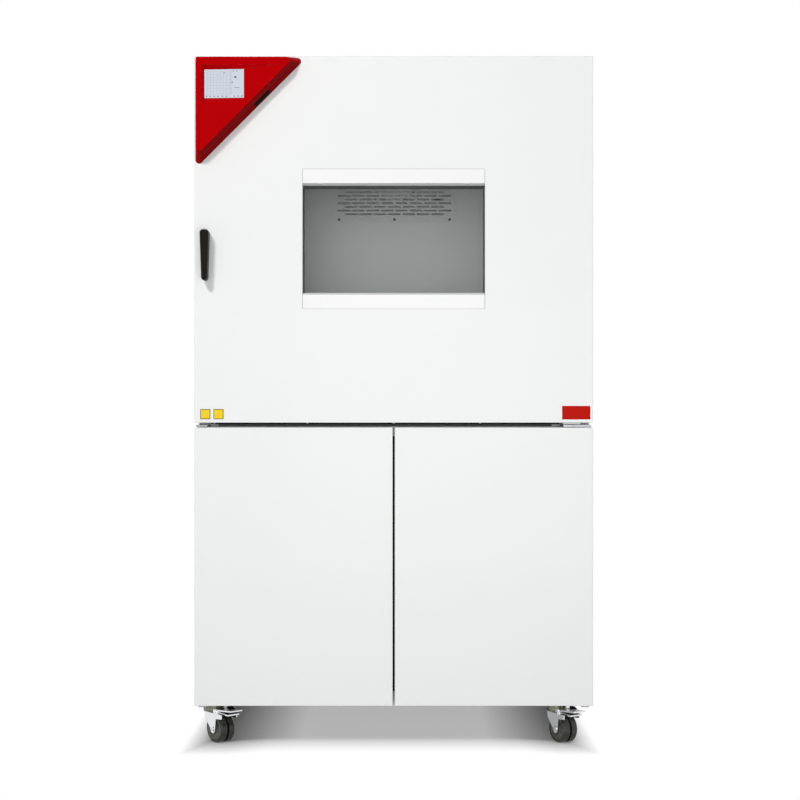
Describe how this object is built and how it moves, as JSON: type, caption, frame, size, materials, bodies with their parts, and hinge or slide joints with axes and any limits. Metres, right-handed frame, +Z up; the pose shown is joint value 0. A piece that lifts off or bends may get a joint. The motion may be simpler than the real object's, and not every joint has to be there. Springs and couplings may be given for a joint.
{
  "type": "environmental test chamber",
  "caption": "Climate test cabinet on twin-wheel casters: an insulated chamber behind a windowed door with a touch panel, above a refrigeration compartment with two service doors.",
  "frame": {"origin": "on the floor under the middle of the bounding box", "axes": "+X to the right seen from the front, +Y to the back, +Z up; the doors face -Y"},
  "size_m": [1.139, 1.002, 1.945],
  "materials": {
    "white_paint": "satin",
    "grey_paint": "satin",
    "galvanised": "satin",
    "stainless": "satin",
    "foam": "matte",
    "zinc": "polished",
    "aluminium": "satin",
    "copper": "satin",
    "black_steel": "satin",
    "black_plastic": "matte",
    "grey_plastic": "matte",
    "white_plastic": "matte",
    "red_plastic": "satin",
    "screen": "gloss",
    "glass": "gloss",
    "silicone": "matte",
    "grey_rubber": "matte",
    "tyre": "matte"
  },
  "bodies": {
    "cabinet": {"base_frame": "white_paint", "lower_side_panels": "white_paint", "compartment_deck": "white_paint", "back_panels": "galvanised", "upper_jacket": "white_paint", "insulation": "foam", "chamber_liner": "stainless", "rear_duct_wall": "stainless", "slotted_air_baffle": "stainless", "baffle_screws": "zinc", "fan_ring": "stainless", "fan_motor": "grey_plastic", "evaporator": "aluminium", "heater": "stainless", "temperature_sensor": "stainless", "shelf_rails": "stainless", "access_port": "stainless", "hinge_brackets": "zinc", "service_door_catches": "black_plastic", "compressor": "black_steel", "condenser": "aluminium", "condenser_shroud": "galvanised", "liquid_receiver": "grey_paint", "refrigerant_pipes": "copper", "electrical_enclosure": "grey_plastic", "main_switch_frame": "grey_plastic", "drain_spigot": "white_plastic", "rear_inlets": "black_plastic", "caster_mounts": "zinc"},
    "main_door": {"door_outer_shell": "white_paint", "door_inner_panel": "white_paint", "door_insulation": "foam", "hinge_bushes": "white_plastic", "window_frame": "white_plastic", "window_panes": "glass", "window_strips": "white_paint", "window_screws": "zinc", "door_gasket": "grey_rubber", "control_housing": "red_plastic", "touch_screen": "screen", "handle_post": "black_plastic"},
    "door_handle": {"door_handle": "black_plastic"},
    "usb_flap": {"usb_flap": "black_plastic"},
    "left_service_door": {"left_service_door": "white_paint"},
    "right_service_door": {"right_service_door": "white_paint"},
    "circulation_fan": {"circulation_fan": "aluminium"},
    "condenser_fan": {"condenser_fan": "black_plastic"},
    "shelf": {"shelf": "stainless"},
    "port_plug": {"port_plug": "silicone"},
    "main_switch": {"main_switch": "black_plastic"},
    "front_left_fork": {"front_left_fork": "zinc"},
    "front_left_wheel": {"front_left_wheel": "tyre"},
    "front_left_pedal": {"front_left_pedal": "zinc"},
    "front_right_fork": {"front_right_fork": "zinc"},
    "front_right_wheel": {"front_right_wheel": "tyre"},
    "front_right_pedal": {"front_right_pedal": "zinc"},
    "rear_left_fork": {"rear_left_fork": "zinc"},
    "rear_left_wheel": {"rear_left_wheel": "tyre"},
    "rear_right_fork": {"rear_right_fork": "zinc"},
    "rear_right_wheel": {"rear_right_wheel": "tyre"}
  },
  "joints": [
    {"name": "main_door_hinge", "type": "hinge", "parent": "cabinet", "child": "main_door", "pos_m": [0.5365, -0.389, 0.9195], "axis": [0, 0, 1], "range_deg": [0, 110]},
    {"name": "door_handle_turn", "type": "hinge", "parent": "main_door", "child": "door_handle", "pos_m": [-0.525, -0.455, 1.3855], "axis": [0, 0, -1], "range_deg": [0, 25], "stiffness_Nm_per_rad": 0.5},
    {"name": "usb_flap_hinge", "type": "hinge", "parent": "main_door", "child": "usb_flap", "pos_m": [-0.3688, -0.459, 1.82734], "axis": [0.7071, 0, 0.7071], "range_deg": [0, 80]},
    {"name": "left_service_door_hinge", "type": "hinge", "parent": "cabinet", "child": "left_service_door", "pos_m": [-0.5365, -0.433, 0.127], "axis": [0, 0, -1], "range_deg": [0, 110]},
    {"name": "right_service_door_hinge", "type": "hinge", "parent": "cabinet", "child": "right_service_door", "pos_m": [0.5365, -0.433, 0.127], "axis": [0, 0, 1], "range_deg": [0, 110]},
    {"name": "circulation_fan_spin", "type": "hinge", "parent": "cabinet", "child": "circulation_fan", "pos_m": [0, 0.1385, 1.675], "axis": [0, 1, 0], "continuous": true},
    {"name": "condenser_fan_spin", "type": "hinge", "parent": "cabinet", "child": "condenser_fan", "pos_m": [-0.22, 0.326, 0.43], "axis": [0, 1, 0], "continuous": true},
    {"name": "shelf_slide", "type": "slide", "parent": "cabinet", "child": "shelf", "axis": [0, -1, 0], "range_m": [0, 0.03]},
    {"name": "port_plug_slide", "type": "slide", "parent": "cabinet", "child": "port_plug", "axis": [-1, 0, 0], "range_m": [0, 0.08]},
    {"name": "main_switch_turn", "type": "hinge", "parent": "cabinet", "child": "main_switch", "pos_m": [0.5575, -0.289, 0.836], "axis": [1, 0, 0], "range_deg": [0, 90]},
    {"name": "front_left_swivel", "type": "hinge", "parent": "cabinet", "child": "front_left_fork", "pos_m": [-0.521, -0.29, 0.082], "axis": [0, 0, 1], "continuous": true},
    {"name": "front_left_roll", "type": "hinge", "parent": "front_left_fork", "child": "front_left_wheel", "pos_m": [-0.4985, -0.31681, 0.04], "axis": [0.766, 0.6428, 0], "continuous": true},
    {"name": "front_left_brake", "type": "hinge", "parent": "front_left_fork", "child": "front_left_pedal", "pos_m": [-0.49818, -0.3172, 0.09], "axis": [0.766, 0.6428, 0], "range_deg": [0, 6], "stiffness_Nm_per_rad": 2},
    {"name": "front_right_swivel", "type": "hinge", "parent": "cabinet", "child": "front_right_fork", "pos_m": [0.47, -0.29, 0.082], "axis": [0, 0, 1], "continuous": true},
    {"name": "front_right_roll", "type": "hinge", "parent": "front_right_fork", "child": "front_right_wheel", "pos_m": [0.48697, -0.32061, 0.04], "axis": [0.8746, 0.4848, 0], "continuous": true},
    {"name": "front_right_brake", "type": "hinge", "parent": "front_right_fork", "child": "front_right_pedal", "pos_m": [0.48721, -0.32105, 0.09], "axis": [0.8746, 0.4848, 0], "range_deg": [0, 6], "stiffness_Nm_per_rad": 2},
    {"name": "rear_left_swivel", "type": "hinge", "parent": "cabinet", "child": "rear_left_fork", "pos_m": [-0.521, 0.356, 0.082], "axis": [0, 0, 1], "continuous": true},
    {"name": "rear_left_roll", "type": "hinge", "parent": "rear_left_fork", "child": "rear_left_wheel", "pos_m": [-0.4985, 0.32919, 0.04], "axis": [0.766, 0.6428, 0], "continuous": true},
    {"name": "rear_right_swivel", "type": "hinge", "parent": "cabinet", "child": "rear_right_fork", "pos_m": [0.47, 0.356, 0.082], "axis": [0, 0, 1], "continuous": true},
    {"name": "rear_right_roll", "type": "hinge", "parent": "rear_right_fork", "child": "rear_right_wheel", "pos_m": [0.48697, 0.32539, 0.04], "axis": [0.8746, 0.4848, 0], "continuous": true}
  ]
}
